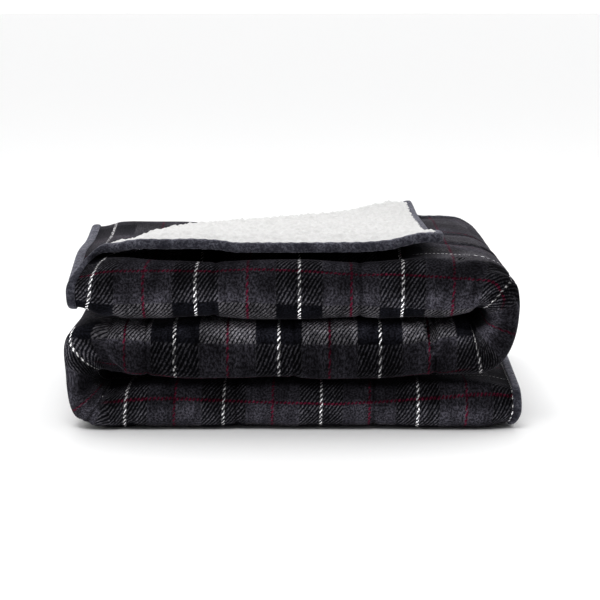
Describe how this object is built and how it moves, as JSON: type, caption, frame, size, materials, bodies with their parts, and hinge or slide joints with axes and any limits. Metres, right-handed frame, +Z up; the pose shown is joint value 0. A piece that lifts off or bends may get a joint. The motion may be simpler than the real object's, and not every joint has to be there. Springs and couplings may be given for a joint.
{
  "type": "weighted throw blanket, folded",
  "caption": "Weighted blanket with a plaid plush face, a fleece back and a bound edge, folded in thirds both ways with one corner turned over.",
  "frame": {"origin": "middle of the folded blanket's footprint, on the surface that it lies on", "axes": "+X to the right along the folded rolls, -Y towards the front with the round noses, +Z up"},
  "size_m": [0.5316, 0.4536, 0.2066],
  "materials": {
    "plush": "short-pile plush, charcoal and black check with white and dark red lines",
    "fleece": "curly off-white fleece pile",
    "binding": "plain dark charcoal plush strip"
  },
  "bodies": {
    "root": {"plush_face": "plush", "fleece_back": "fleece", "edge_binding": "binding"}
  },
  "joints": []
}
